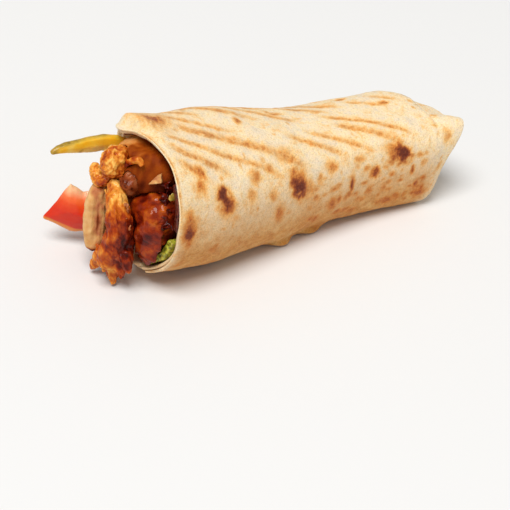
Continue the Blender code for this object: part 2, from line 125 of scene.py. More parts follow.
def skin(u, turn, inset=0.0):
    """Points of the bread: u along the roll, turn round it, inset below its outside."""
    u, turn, inset = np.broadcast_arrays(*(np.asarray(v, float) for v in (u, turn, inset)))
    angle, around = np.radians(turn), turn % 360.0
    cos, sin = np.cos(angle), np.sin(angle)
    power, tall = along(u, 5), along(u, 2)
    r = (abs(cos / along(u, 1)) ** power + abs(sin / tall) ** power) ** (-1.0 / power)
    # the outer layer winds round once and ends at the seam
    wound = ((turn - SEAM) % 360.0) / 360.0
    r = r - SHEET * (1.0 - wound) * (1.0 - ease(u, 150.0, 186.0))
    # its last fold stands proud over the top; the filling lifts the mouth's top
    hood = bump(around, 78.0, 34.0) * ease(u, 118.0, 168.0)
    r = r + 2.4 * hood * (u <= FLAP_EDGE)
    r = r + 5.5 * bump(around, 62.0, 36.0) * (1.0 - ease(u, 24.0, 112.0))
    r = r - 7.5 * bump(around, 64.0, 26.0) * (1.0 - ease(u, 0.0, 8.0))
    r = r + 4.5 * bump(around, 122.0, 15.0) * ease(u, 168.0, LENGTH)
    r = r - inset
    lean = np.maximum((u - 120.0) / (LENGTH - 120.0), 0.0) ** 2
    x = u + rim_x(turn) * (1.0 - ease(u, 0.0, 38.0))
    x = x - 23.0 * lean * 0.5 * (1.0 - r * sin / tall)
    x = x - 3.0 * lean * bump(around, 165.0, 30.0)
    y = along(u, 3) + r * cos
    z = tall + along(u, 4) - SAG + r * sin
    # hand-rolled unevenness, and two tabs of the edge that show below
    outer = inset == 0.0
    swell = outer * 0.9 * grain(np.stack([x, y, z], -1), 26.0, 2) * ease(u, 4.0, 30.0)
    y = y + swell * cos
    z = z + swell * sin
    under = bump(around, 236.0, 9.0) * (around < SEAM + 0.01) * outer
    y = y - 8.0 * under * (bump(u, 78.0, 7.5) + 0.8 * bump(u, 98.0, 9.0))
    z = np.where(outer, np.maximum(z, TABLE), z)
    return np.stack([x, y, z], -1)


# the grill's bars slant round the roll; each pressed hard along one stretch:
# angle where the bar would meet the mouth, start, stop, half width, strength
BAR_SLANT = 0.93                # degrees round per mm along
BARS = (
    (120.0, 6, 22, 1.7, 0.56), (104.5, 7, 36, 1.6, 0.64), (88.5, 10, 68, 1.1, 0.54),
    (68.5, 22, 84, 1.7, 0.62), (55.5, 18, 52, 1.1, 0.50), (41.0, 82, 112, 1.3, 0.54),
    (25.5, 96, 128, 1.2, 0.52), (4.5, 116, 151, 1.6, 0.62), (-10.0, 112, 158, 1.2, 0.56),
    (-52.0, 136, 157, 1.2, 0.50), (-69.0, 152, 167, 1.2, 0.52), (40.0, 8, 40, 1.4, 0.50),
    (24.0, 20, 70, 1.6, 0.55), (8.0, 30, 96, 1.4, 0.52), (-8.0, 44, 84, 1.6, 0.58),
    (-24.0, 60, 120, 1.4, 0.52), (-40.0, 76, 130, 1.6, 0.56), (-56.0, 90, 118, 1.3, 0.48),
)
# blisters that the grill browned: u, angle, half length, half breadth, darkness
SPOTS = (
    (147, 154, 9.6, 7.4, 1.0), (78, 161, 7.6, 9.0, 1.0), (29, 159, 5.8, 8.2, 1.0),
    (6.0, 178, 4.6, 8.8, 0.9), (137, 64, 3.4, 2.6, 0.7), (155, 88, 4.4, 2.2, 0.66),
    (73, 135, 8.0, 5.0, 0.42), (65, 182, 3.4, 4.6, 0.52), (129, 168, 3.6, 4.0, 0.80),
    (114, 172, 2.0, 5.4, 0.88), (158, 174, 2.2, 3.6, 0.74), (101, 188, 3.0, 3.6, 0.66),
    (106, 186, 2.0, 2.6, 0.6), (181, 140, 3.4, 4.0, 0.46), (184, 171, 2.4, 4.2, 0.40),
    (164, 192, 3.2, 3.0, 0.66), (137, 186, 2.6, 3.2, 0.50), (127, 186, 2.8, 3.2, 0.46),
    (50, 147, 4.0, 3.8, 0.58), (60, 143, 3.4, 2.6, 0.52), (15, 146, 3.8, 4.4, 0.62),
    (16, 134, 4.8, 3.6, 0.64), (60, 165, 2.8, 3.4, 0.48), (46, 160, 3.2, 3.6, 0.42),
    (100, 152, 4.4, 4.0, 0.54), (120, 152, 4.2, 3.0, 0.50), (59, 93, 2.4, 3.0, 0.66),
    (88, 81, 4.6, 2.0, 0.54), (113, 202, 3.4, 2.4, 0.46),
    (141, 204, 6.0, 2.6, 0.56), (172, 204, 9.0, 3.0, 0.62), (92, 160, 2.2, 2.8, 0.44),
    (50, 40, 6.0, 5.0, 0.9), (112, 20, 5.0, 6.5, 0.85), (84, 352, 4.5, 4.0, 0.7),
    (150, 30, 4.0, 5.0, 0.8), (30, 8, 5.0, 4.0, 0.75), (64, 315, 5.0, 4.0, 0.6),
    (132, 340, 4.0, 3.4, 0.7), (24, 300, 4.0, 5.0, 0.6), (95, 290, 7.0, 4.0, 0.5),
)


def round_the_roll(turn, middle):
    """Signed distance round the roll from an angle, in mm."""
    return ((turn - middle + 180.0) % 360.0 - 180.0) * DEGREE


def browning(u, turn):
    """How far the grill browned the bread, 0 pale to 1 nearly black, and the warm halo."""
    here = np.stack([u, turn * DEGREE, 0 * u], -1)
    wobble_u = 0.36 * grain(here, 4.5, 31) + 0.16 * grain(here, 1.7, 32)
    wobble_s = 0.36 * grain(here, 4.5, 33) + 0.16 * grain(here, 1.7, 34)
    ragged = 0.34 * grain(here, 3.6, 37) + 0.30 * grain(here, 1.3, 38)
    patchy = 0.90 + 0.6 * grain(here, 6.0, 35) + 0.7 * grain(here, 2.0, 36)
    brown, warm = np.zeros_like(u), np.zeros_like(u)
    for start_angle, start, stop, half, strength in BARS:
        off = round_the_roll(turn, start_angle + BAR_SLANT * u) * 0.73 + 1.1 * wobble_s
        press = ease(u, start - 4, start + 5) * (1.0 - ease(u, stop - 8, stop + 4))
        # a rib marks its lower edge hardest
        line = 0.80 * bump(off, 0.0, half) + 0.34 * bump(off, 0.75 * half, 0.5)
        brown = np.maximum(brown, line * press * strength * np.clip(patchy, 0.3, 1.25))
        warm = np.maximum(warm, bump(off, 0.0, 2.2 * half) * press * 0.6)
    rng = np.random.default_rng(11)
    specks = [(rng.uniform(4, 186), rng.uniform(0, 360), *rng.uniform(0.8, 2.4, 2),
               rng.uniform(0.22, 0.46)) for _ in range(150)]
    # small blisters crowd the near side's lower half
    specks += [(rng.uniform(88, 178), rng.uniform(156, 206), rng.uniform(1.6, 3.6), rng.uniform(1.2, 2.4),
                rng.uniform(0.36, 0.60)) for _ in range(42)]
    for k, (at, middle, half_u, half_s, dark) in enumerate((*SPOTS, *specks)):
        ds = round_the_roll(turn, middle) / half_s + wobble_s
        # the large ones lean as the bars do
        du = (u - at) / half_u + wobble_u - (0.4 * ds if half_u > 5.5 else 0.0)
        tan = ease(1.25 - np.hypot(du, ds) + 0.4 * ragged, 0.0, 0.75)
        # the black core lies off the middle of the blister
        lean_u, lean_s = 0.22 * math.cos(2.4 * k), 0.22 * math.sin(2.4 * k)
        core = np.hypot((du - lean_u) / 0.72, (ds - lean_s) / 0.72)
        core = ease(1.2 - core + 0.5 * ragged, 0.0, 0.95)
        brown = np.maximum(brown, dark * (0.54 * tan + 0.46 * core))
        warm = np.maximum(warm, ease(1.7 - np.hypot(du, ds), 0.0, 1.0) * min(1.0, 1.4 * dark))
    around = turn % 360.0
    # a streaky patch where the mouth's upper lip touched the grill
    streaks = grain(np.stack([u + 0.5 * here[..., 1], 0.25 * here[..., 1], 0 * u], -1), 1.6, 39)
    touched = bump(u, 13.0, 8.5) * bump(around, 77.0, 14.0)
    brown = np.maximum(brown, touched * np.clip(0.68 + 0.6 * streaks + 0.5 * ragged, 0.0, 0.8))
    # the mouth's thin edge is toasted along the near side
    edge = (1.0 - ease(u, 0.3, 2.6)) * ease(around, 78.0, 100.0) * (1.0 - ease(around, 150.0, 185.0))
    brown = np.maximum(brown, edge * np.clip(0.42 + 0.9 * ragged, 0.0, 0.66))
    return brown, warm


def mesh_of(name, points, faces):
    mesh = bpy.data.meshes.new(name)
    mesh.from_pydata(points.tolist(), [], faces)
    bm = bmesh.new()
    bm.from_mesh(mesh)
    if bm.calc_volume(signed=True) < 0.0:
        bmesh.ops.reverse_faces(bm, faces=bm.faces)
        bm.to_mesh(mesh)
    bm.free()
    mesh.shade_smooth()
    return mesh


def ring_faces(rows, columns):
    """Quads between rings of points, with both ends closed on the two last points."""
    faces = []
    for i in range(rows - 1):
        for k in range(columns):
            n = (k + 1) % columns
            faces.append((i * columns + k, i * columns + n, (i + 1) * columns + n, (i + 1) * columns + k))
    first, last = rows * columns, rows * columns + 1
    for k in range(columns):
        n = (k + 1) % columns
        faces.append((first, n, k))
        faces.append((last, (rows - 1) * columns + k, (rows - 1) * columns + n))
    return faces


def paint(mesh, **fields):
    """Store a value for each point, for the material to read."""
    for name, values in fields.items():
        layer = mesh.attributes.new(name, "FLOAT", "POINT")
        layer.data.foreach_set("value", np.ascontiguousarray(values, np.float32).ravel())


COLUMNS = 236
edge = np.array((0.02, 0.35, 0.9, 1.7))
turns = SEAM + np.concatenate([edge, np.linspace(2.6, 357.4, COLUMNS - 8), 360.0 - edge[::-1]])
rows_u = np.concatenate([np.linspace(LENGTH, FLAP_EDGE + 0.3, 20), np.linspace(FLAP_EDGE, 1.6, 200),
                         (1.0, 0.55)])
U, T = np.meshgrid(rows_u, turns, indexing="ij")
flap_wave = 1.2 * grain(np.stack([0 * T, T * DEGREE, 0 * T], -1), 14.0, 41)
outside = skin(U, T)
outside[..., 0] += flap_wave * bump(U, FLAP_EDGE, 8.0)
brown, warm = browning(U, T)
# relief: soft waves, raised blisters, pressed bars, a rounded edge at the seam
here = outside
relief = (0.36 * grain(here, 11.0, 42) + 0.24 * grain(here, 4.6, 43) + 0.12 * grain(here, 2.0, 44) - 0.34
          + 0.35 * np.clip(brown - 0.5, 0.0, 0.4) - 0.22 * np.clip(brown, 0.0, 0.5))
# fine cracks where the last fold was bent over the top
crack = abs(grain(here, 6.0, 45, (0.35, 1.0, 1.0)))
relief -= 0.5 * np.clip(0.10 - crack, 0, 1) / 0.10 * bump(U, 163.0, 14.0) * bump(T, 360 + 85.0, 30.0)
relief -= 0.8 * bump(U, FLAP_EDGE + 1.2, 1.0) * bump(T, 360 + 88.0, 40.0) * (U > FLAP_EDGE)
from_edge = (SEAM + 360.0 - T) * DEGREE
relief -= 0.85 * np.clip(1.0 - from_edge / 0.85, 0.0, 1.0) ** 2
relief -= 0.45 * bump((T - SEAM) * DEGREE, 0.0, 0.8)
keep_flat = ease(outside[..., 2], TABLE, TABLE + 2.0)
relief *= keep_flat
angle = np.radians(T)
outside[..., 1] += relief * np.cos(angle)
outside[..., 2] += relief * np.sin(angle)

# the folded end: three flaps tucked over each other
rim = outside[0]
middle = rim.mean(axis=0)
cap, cap_brown = [], []
for share in np.linspace(0.03, 0.985, 26):
    ring = middle + (rim - middle) * share
    y, z = ring[:, 1] - middle[1], ring[:, 2] - middle[2]
    dish = 5.5 - 6.8 * share ** 2
    lap = 1.5 * ease(z + 0.55 * y + 2.0 * np.sin(0.2 * y), 3.0, 3.8)
    lap += 1.4 * ease(y - 0.25 * z - 4.0, 0.0, 0.8) * (1.0 - ease(z, 4.0, 14.0))
    inner = 1.0 - share ** 6
    ring[:, 0] += (-0.7 - dish + lap * inner) + 0.5 * inner * grain(ring, 7.0, 46)
    cap.append(ring)
    cap_brown.append(0.42 * np.clip(grain(ring, 8.0, 47) + 0.25 * grain(ring, 3.0, 48) - 0.1, 0, 1))

# the mouth's edge: outer layer, a deep crease, the inner layer's own lip, the wall
lip_wave = 0.9 * grain(np.stack([np.cos(np.radians(turns)) * 20, np.sin(np.radians(turns)) * 20,
                                 0 * turns], -1), 6.0, 49)
low = bump(turns % 360.0, 252.0, 30.0)
lip = 1.5 - 3.8 * low + lip_wave
rim_rings = [skin(back, turns, inset) for back, inset in
             ((0.18, 0.38), (0.0, 0.85), (0.18, 1.32), (0.6, 1.6), (2.2, 1.68), (5.0, 1.72), (5.6, 1.86),
              (5.0, 2.0))]
rim_rings += [skin(lip + back, turns, inset) for back, inset in
              ((2.0, 2.0), (0.7, 2.05), (0.2, 2.3), (0.0, 2.8), (0.2, 3.3), (0.7, 3.58))]
hollow_u = np.concatenate([np.linspace(4.0, 40.0, 16), np.linspace(52.0, LENGTH - END_WALL, 6)])
for back in hollow_u:
    inset = WALL + 2.0 * ease(back, 20.0, 150.0) + 3.3 * ease(back, 150.0, LENGTH - END_WALL)
    ring = skin(back, turns, inset)
    rim_rings.append(ring)
rings = np.concatenate([np.array(cap), outside, np.array(rim_rings)])
ends = np.array([middle - (5.5, 0, 0), rim_rings[-1].mean(axis=0)])
points = np.concatenate([rings.reshape(-1, 3), ends])
bread_mesh = mesh_of("flatbread_roll", points, ring_faces(len(rings), COLUMNS))
inner_rows = len(rim_rings)
browned = np.concatenate([np.array(cap_brown), brown, np.zeros((inner_rows, COLUMNS))])
inside = np.zeros(len(rings))
inside[-inner_rows + 7:] = 0.2
inside[-len(hollow_u):] = ease(hollow_u, 1.0, 14.0)
inside = np.repeat(inside, COLUMNS)
haloed = np.concatenate([0.8 * np.array(cap_brown), warm, np.zeros((inner_rows, COLUMNS))])
# the near side's lower half and the underside are painted golden tan: partly toasted by the grill, partly painted
# warm shade; the paler top is partly a painted sheen from the light above
around = turns % 360.0
golden = ease(around, 138.0, 212.0) * (1.0 - ease(around, 262.0, 320.0))
paler_ends = (1.0 - 0.7 * ease(rows_u, 170.0, 188.0)) * ease(rows_u, -4.0, 7.0)
paler_ends = np.concatenate([np.full(len(cap), 0.3), paler_ends, np.full(inner_rows, 0.3)])
golden = np.outer(paler_ends, golden).ravel()
paint(bread_mesh, browned=np.append(browned.ravel(), (0, 0)), inside=np.append(inside, (0, 1)),
      haloed=np.append(haloed.ravel(), (0, 0)), golden=np.append(golden, (0, 0)))

# the part's origin is the middle of its footprint, on the table
ROLL_AT = Vector((-80.93, 0.07, -TABLE))


def in_place(name, mesh, *nodes):
    """Scale a mesh to metres, put it in its place, and let it stand for its nodes."""
    mesh.transform(Matrix.Scale(MM, 4) @ Matrix.Translation(ROLL_AT))
    piece = bpy.data.objects.new(name, mesh)
    bpy.context.collection.objects.link(piece)
    if nodes:
        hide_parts(*nodes)
    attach(piece, "root")
    return piece


class Finish:
    """A material whose nodes are added one line at a time."""

    def __init__(self, name, **sockets):
        self.material = bpy.data.materials.new(name)
        self.material.use_nodes = True
        self.tree = self.material.node_tree
        self.shader = self.tree.nodes["Principled BSDF"]
        for socket, value in sockets.items():
            self.shader.inputs[socket.replace("_", " ")].default_value = value
        self.place = self.add("ShaderNodeTexCoord").outputs["Object"]

    def add(self, kind, **settings):
        node = self.tree.nodes.new(kind)
        for setting, value in settings.items():
            setattr(node, setting, value)
        return node

    def feed(self, socket, value):
        """Link a node's output to a socket, or set the socket's value."""
        if isinstance(value, bpy.types.NodeSocket):
            self.tree.links.new(value, socket)
        else:
            socket.default_value = value

    def painted(self, name):
        return self.add("ShaderNodeAttribute", attribute_name=name).outputs["Fac"]

    def noise(self, size, detail=3.0, stretch=(1.0, 1.0, 1.0), distortion=0.0):
        """Noise from 0 to 1 whose lumps are about size mm across."""
        mapping = self.add("ShaderNodeMapping")
        self.feed(mapping.inputs["Vector"], self.place)
        mapping.inputs["Scale"].default_value = [1.0 / s for s in stretch]
        texture = self.add("ShaderNodeTexNoise")
        self.feed(texture.inputs["Vector"], mapping.outputs["Vector"])
        texture.inputs["Scale"].default_value = 1.0 / (size * MM)
        texture.inputs["Detail"].default_value = detail
        texture.inputs["Distortion"].default_value = distortion
        return texture.outputs["Fac"]

    def math(self, operation, a, b=0.0, clamp=False):
        node = self.add("ShaderNodeMath", operation=operation, use_clamp=clamp)
        self.feed(node.inputs[0], a)
        self.feed(node.inputs[1], b)
        return node.outputs[0]

    def vary(self, value, texture, amount):
        """A value moved up and down by a texture from 0 to 1."""
        return self.math("ADD", value, self.math("MULTIPLY", self.math("SUBTRACT", texture, 0.5), amount),
                         clamp=True)

    def ramp(self, value, *stops):
        """Colours, given as the eye sees them in 0 to 255, along a value from 0 to 1."""
        node = self.add("ShaderNodeValToRGB")
        self.feed(node.inputs["Fac"], value)
        points = node.color_ramp.elements
        while len(points) < len(stops):
            points.new(0.5)
        for point, (at, colour) in zip(points, stops):
            point.position = at
            point.color = (*linear(colour), 1.0)
        return node.outputs["Color"]

    def blend(self, factor, a, b, kind="MIX"):
        node = self.add("ShaderNodeMix", data_type="RGBA", blend_type=kind)
        self.feed(node.inputs["Factor"], factor)
        for socket, value in zip((node.inputs[6], node.inputs[7]), (a, b)):
            self.feed(socket, value if isinstance(value, bpy.types.NodeSocket) else (*linear(value), 1.0))
        return node.outputs[2]

    def bumps(self, *layers):
        """Bump from (height, depth in mm) pairs."""
        normal = None
        for height, depth in layers:
            node = self.add("ShaderNodeBump")
            node.inputs["Distance"].default_value = depth * MM
            self.feed(node.inputs["Height"], height)
            if normal:
                self.feed(node.inputs["Normal"], normal)
            normal = node.outputs["Normal"]
        self.feed(self.shader.inputs["Normal"], normal)

    def colour(self, value):
        self.feed(self.shader.inputs["Base Color"], value)

    def roughness(self, value):
        self.feed(self.shader.inputs["Roughness"], value)


def linear(colour):
    """0 to 255 as the eye sees it, to the linear value a shader takes."""
    return [(c / 255.0 / 12.92) if c < 10.3 else ((c / 255.0 + 0.055) / 1.055) ** 2.4 for c in colour]


def bread_finish():
    bread = Finish("grilled_flatbread", Subsurface_Weight=0.1, Subsurface_Scale=0.002,
                   Sheen_Weight=0.1, Sheen_Roughness=0.5, Specular_IOR_Level=0.2)
    bread.shader.inputs["Subsurface Radius"].default_value = (1.0, 0.6, 0.3)
    cloud = bread.noise(13.0, 4.0)
    flour = bread.noise(4.2, 4.0, distortion=0.6)
    fine = bread.noise(1.1, 4.0)
    mottle = bread.vary(bread.vary(cloud, flour, 1.1), fine, 0.5)
    pale = bread.ramp(mottle, (0.2, (238, 220, 192)), (0.42, (250, 228, 192)), (0.58, (254, 228, 182)),
                      (0.8, (250, 204, 142)))
    # the golden side's colours: partly toast, partly painted warm shade on the lower side
    golden = bread.ramp(mottle, (0.2, (228, 180, 112)), (0.5, (214, 150, 72)), (0.8, (198, 124, 48)))
    pale = bread.blend(bread.painted("golden"), pale, golden)
    peach = bread.blend(1.0, pale, (255, 232, 192), "MULTIPLY")
    halo = bread.math("MULTIPLY", bread.painted("haloed"), 0.8)
    pale = bread.blend(halo, pale, peach)
    # tiny toasted flecks everywhere
    fleck = bread.math("MULTIPLY", bread.math("SUBTRACT", bread.noise(2.0, 2.0), 0.62), 3.2, clamp=True)
    browned = bread.painted("browned")
    grit = bread.math("MULTIPLY", browned, 1.6, clamp=True)
    browned = bread.math("ADD", browned, bread.math(
        "MULTIPLY", grit, bread.math("MULTIPLY", bread.math("SUBTRACT", fine, 0.5), 0.5)), clamp=True)
    browned = bread.math("MAXIMUM", browned, bread.math("MULTIPLY", fleck, 0.30))
    toast = bread.ramp(browned, (0.0, (255, 255, 255)), (0.16, (252, 238, 214)), (0.36, (240, 206, 160)),
                       (0.55, (220, 168, 110)), (0.78, (164, 98, 58)), (1.0, (108, 50, 34)))
    colour = bread.blend(1.0, pale, toast, "MULTIPLY")
    # floury pores
    pores = bread.noise(0.7, 3.0)
    colour = bread.blend(1.0, colour, bread.ramp(pores, (0.3, (226, 222, 216)), (0.52, (252, 251, 249)),
                                                 (0.7, (255, 255, 255))), "MULTIPLY")
    wet = bread.ramp(flour, (0.3, (216, 172, 112)), (0.7, (236, 204, 150)))
    bread.colour(bread.blend(bread.painted("inside"), colour, wet))
    bread.roughness(bread.math("ADD", 0.6, bread.math("MULTIPLY", flour, 0.2)))
    bread.bumps((flour, 0.3), (fine, 0.4), (pores, 0.25))
    return bread.material


bread = in_place("flatbread_roll", bread_mesh, "flatbread")
bread.data.materials.append(bread_finish())


# ------------------------------------------------------------- the roasted meat
# Strips and chunks shaved off a spit: soft pale meat inside, a browned, glossy
# crust outside, with the grain of the muscle showing where it tore.
def melted(parts, voxel, passes):
    """Meshes run together into one dense, softened mesh."""
    bm = bmesh.new()
    for part in parts:
        bm.from_mesh(part)
    mesh = bpy.data.meshes.new("lump")
    bm.to_mesh(mesh)
    bm.free()
    lump = bpy.data.objects.new("lump", mesh)
    bpy.context.collection.objects.link(lump)
    skin_over = lump.modifiers.new("skin", "REMESH")
    skin_over.mode = "VOXEL"
    skin_over.voxel_size = voxel
    smooth = lump.modifiers.new("soften", "SMOOTH")
    smooth.iterations = passes
    smooth.factor = 0.5
    graph = bpy.context.evaluated_depsgraph_get()
    dense = bpy.data.meshes.new_from_object(lump.evaluated_get(graph))
    bpy.data.objects.remove(lump)
    dense.shade_smooth()
    return dense


def softened(node, voxel=0.75, passes=4, extra=()):
    """A dense, softened copy of a CAD node, with strands added, in the roll's mm."""
    bm = bmesh.new()
    bm.from_mesh(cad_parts[node].data)
    bmesh.ops.remove_doubles(bm, verts=bm.verts, dist=1e-6)
    mesh = bpy.data.meshes.new(node)
    bm.to_mesh(mesh)
    bm.free()
    mesh.transform(Matrix.Translation(-ROLL_AT) @ Matrix.Scale(1.0 / MM, 4))
    return melted([mesh, *extra], voxel, passes)


def points_of(mesh):
    flat = np.empty(len(mesh.vertices) * 3, np.float32)
    mesh.vertices.foreach_get("co", flat)
    return flat.reshape(-1, 3).astype(float)


def raise_by(mesh, height):
    """Move each point out along its normal."""
    normals = np.empty(len(mesh.vertices) * 3, np.float32)
    mesh.vertex_normals.foreach_get("vector", normals)
    points = points_of(mesh) + normals.reshape(-1, 3) * np.asarray(height)[:, None]
    mesh.vertices.foreach_set("co", points.astype(np.float32).ravel())
    mesh.update()
    return points


def pulled(points, direction, longer):
    """Points squashed along one direction, so that noise read there runs in fibres."""
    way = np.array(direction) / np.linalg.norm(direction)
    return points - (points @ way)[:, None] * way * (1.0 - 1.0 / longer)


def drifted(points, amount, scale, seed):
    """Points pushed about by noise, so that a pattern read there is irregular."""
    return points + amount * np.stack([grain(points, scale, seed + k) for k in range(3)], -1)


def patch(at, across, height, wide, tall):
    """1 around one place of the mouth, seen from in front of it, falling to 0 outside."""
    sideways = 0.766 * at[:, 0] - 0.643 * at[:, 1]
    return bump(sideways, across, wide) * bump(at[:, 2], height, tall)


def meat_finish(name, colours, wet, fibre=(1.0, 1.0, 1.0), gloss=0.35, rough=0.5, mottled=0.35):
    """Meat coloured by how roasted it is, with fibres along one direction."""
    meat = Finish(name, Subsurface_Weight=0.06, Subsurface_Scale=0.002, Coat_Weight=wet,
                  Coat_Roughness=0.09, Specular_IOR_Level=0.06)
    meat.shader.inputs["Subsurface Radius"].default_value = (1.0, 0.3, 0.1)
    strands = meat.noise(1.2, 4.0, fibre, 0.6)
    mottle = meat.noise(3.0, 5.0, distortion=0.8)
    fine = meat.noise(0.6, 3.0)
    roast = meat.vary(meat.painted("roast"), strands, 0.8 * mottled)
    roast = meat.vary(roast, mottle, mottled)
    roast = meat.vary(roast, fine, 0.4 * mottled)
    meat.colour(meat.ramp(roast, *colours))
    meat.roughness(meat.math("ADD", gloss, meat.math("MULTIPLY", strands, 0.3)))
    meat.bumps((mottle, rough), (strands, 0.8 * rough), (fine, 0.2))
    return meat.material


ROASTED = ((0.0, (250, 190, 96)), (0.2, (228, 144, 50)), (0.4, (196, 94, 22)), (0.6, (156, 52, 8)),
           (0.8, (108, 24, 3)), (1.0, (56, 8, 2)))
GLAZED = ((0.0, (222, 130, 34)), (0.25, (184, 86, 12)), (0.5, (148, 46, 5)), (0.75, (100, 18, 2)),
          (1.0, (46, 4, 1)))
PALE = ((0.0, (222, 154, 86)), (0.25, (198, 116, 46)), (0.5, (156, 72, 12)), (0.75, (126, 48, 5)),
        (1.0, (78, 20, 0)))
CUT = ((0.0, (232, 186, 126)), (0.25, (214, 158, 94)), (0.5, (190, 118, 74)), (0.75, (140, 62, 24)),
       (1.0, (80, 24, 6)))


def make_glazed():
    """The big dark chunk under a sticky glaze, darker in its hollows and lighter on its lumps."""
    mesh = softened("chicken_glazed", 0.6)
    at = points_of(mesh)
    warped = drifted(at, 1.8, 6.0, 51)
    lumps = grain(warped, 6.5, 54)
    ridge = 1.0 - 2.0 * abs(grain(warped, 8.0, 55))
    small = grain(drifted(at, 0.8, 2.5, 56), 2.3, 59)
    at = raise_by(mesh, 1.1 * lumps + 0.5 * (ridge - 0.6) + 0.3 * small - 0.3)
    roast = 0.68 - 0.24 * lumps - 0.18 * small + 0.24 * grain(at, 4.0, 60)
    roast -= 0.34 * patch(at, 12.5, 42.5, 6.0, 6.2) + 0.24 * patch(at, 10.5, 53.0, 6.0, 3.4)
    roast += 0.36 * patch(at, 12.0, 36.0, 6.5, 2.8)
    roast -= 0.26 * patch(at, 11.5, 29.0, 3.0, 4.0) + 0.30 * patch(at, 4.5, 26.0, 2.0, 9.0)
    paint(mesh, roast=np.clip(roast, 0, 1))
    piece = in_place("glazed_chicken", mesh, "chicken_glazed")
    piece.data.materials.append(meat_finish("glazed_meat", GLAZED, 0.36, gloss=0.3, rough=0.7, mottled=0.26))


def make_upper():
    """A broad smooth slice under the top of the mouth, tan at its far edge, soaked at the near one."""
    mesh = softened("chicken_upper", 0.7, 6)
    at = points_of(mesh)
    grains = pulled(drifted(at, 1.5, 8.0, 61), (0.2, 0.1, 1.0), 5.0)
    streaks = grain(grains, 2.4, 64)
    at = raise_by(mesh, 0.5 * grain(at, 11.0, 65) + 0.3 * streaks)
    roast = 0.16 + 0.50 * ease(9.0 - at[:, 1], 0.0, 8.0) + 0.22 * streaks + 0.3 * grain(at, 9.0, 66)
    roast -= 0.3 * patch(at, -5.5, 67.0, 3.0, 5.0)
    # painted shade: darker towards where it meets the glazed piece, in the recess between them
    roast += 0.35 * (1.0 - ease(at[:, 2], 54.0, 60.0))
    paint(mesh, roast=np.clip(roast, 0, 1))
    piece = in_place("upper_chicken", mesh, "chicken_upper")
    piece.data.materials.append(meat_finish("pale_meat", PALE, 0.0, (1, 1, 4), 0.42, 0.22, 0.14))


def make_back():
    mesh = softened("chicken_back", 1.0)
    at = points_of(mesh)
    at = raise_by(mesh, 1.1 * grain(at, 5.0, 67) - 0.1)
    paint(mesh, roast=np.clip(0.45 + 0.6 * grain(at, 6.0, 68), 0, 1))
    piece = in_place("back_chicken", mesh, "chicken_back")
    piece.data.materials.append(bpy.data.materials["pale_meat"])


def shred(start, stop, thick, seed):
    """A torn fibre: a thin tapering strand with a bend in it."""
    rng = np.random.default_rng(seed)
    start, stop = np.array(start, float), np.array(stop, float)
    way = (stop - start) / np.linalg.norm(stop - start)
    side = np.cross(way, rng.normal(size=3))
    side /= np.linalg.norm(side)
    other = np.cross(way, side)
    rings = []
    for share in np.linspace(0.0, 1.0, 7):
        centre = start + (stop - start) * share + side * thick * 0.9 * math.sin(2.6 * share)
        wide = thick * (1.0 - 0.75 * share ** 2)
        for turn in np.arange(6) * math.tau / 6:
            rings.append(centre + wide * (math.cos(turn) * side + 0.6 * math.sin(turn) * other))
    points = np.array([*rings, start, stop])
    return mesh_of("shred", points, ring_faces(7, 6))


def make_front():
    """The roasted piece that hangs out of the mouth, torn to shreds at its lower end."""
    rng = np.random.default_rng(5)
    fibres = []
    for k in range(26):
        place = rng.uniform(0.0, 1.0)
        start = np.array((-18.5 + 3.5 * place, 1.5 - 21.0 * place, 15.0 + 7.0 * place + rng.uniform(-3, 4)))
        fall = np.array((rng.uniform(-1.8, 0.8), rng.uniform(-2.2, 2.2), rng.uniform(-9.5, -4.5)))
        fibres.append(shred(start, start + fall, rng.uniform(0.7, 1.5), 100 + k))
    # thin strands lie down its upper part
    for k in range(12):
        start = np.array((-18.0 + 6.0 * rng.random(), -2.0 - 8.0 * rng.random(), 52.0 - 3.0 * rng.random()))
        fall = np.array((-2.0, -7.0, -8.0)) * rng.uniform(0.7, 1.2) + rng.uniform(-1.0, 1.0, 3)
        fibres.append(shred(start, start + fall, rng.uniform(0.9, 1.6), 140 + k))
    mesh = softened("chicken_front", 0.45, 2, fibres)
    at = points_of(mesh)
    warped = drifted(at, 2.2, 6.0, 71)
    grains = pulled(warped, (0.46, -0.39, -0.8), 3.5)
    strips, lumps = grain(grains, 2.2, 74), grain(warped, 6.0, 75)
    fine = grain(pulled(drifted(at, 0.8, 2.0, 76), (0.3, -0.3, -1.0), 2.5), 1.1, 79)
    at = raise_by(mesh, 0.7 * lumps + 0.45 * strips + 0.24 * fine - 0.1)
    height, sideways = at[:, 2], 0.766 * at[:, 0] - 0.643 * at[:, 1]
    roast = 0.58 + 0.24 * ease(sideways, -6.0, -1.0) * (1.0 - ease(height, 38.0, 46.0))
    roast -= 0.36 * ease(height, 40.0, 49.0) + 0.26 * (1.0 - ease(height, 13.0, 21.0))
    roast += 0.24 * grain(warped, 5.0, 80) - 0.18 * strips - 0.18 * fine - 0.10 * lumps
    paint(mesh, roast=np.clip(roast, 0, 1))
    piece = in_place("front_chicken", mesh, "chicken_front")
    piece.data.materials.append(meat_finish("roasted_meat", ROASTED, 0.24, (1, 1, 3), 0.34, 0.5, 0.26))


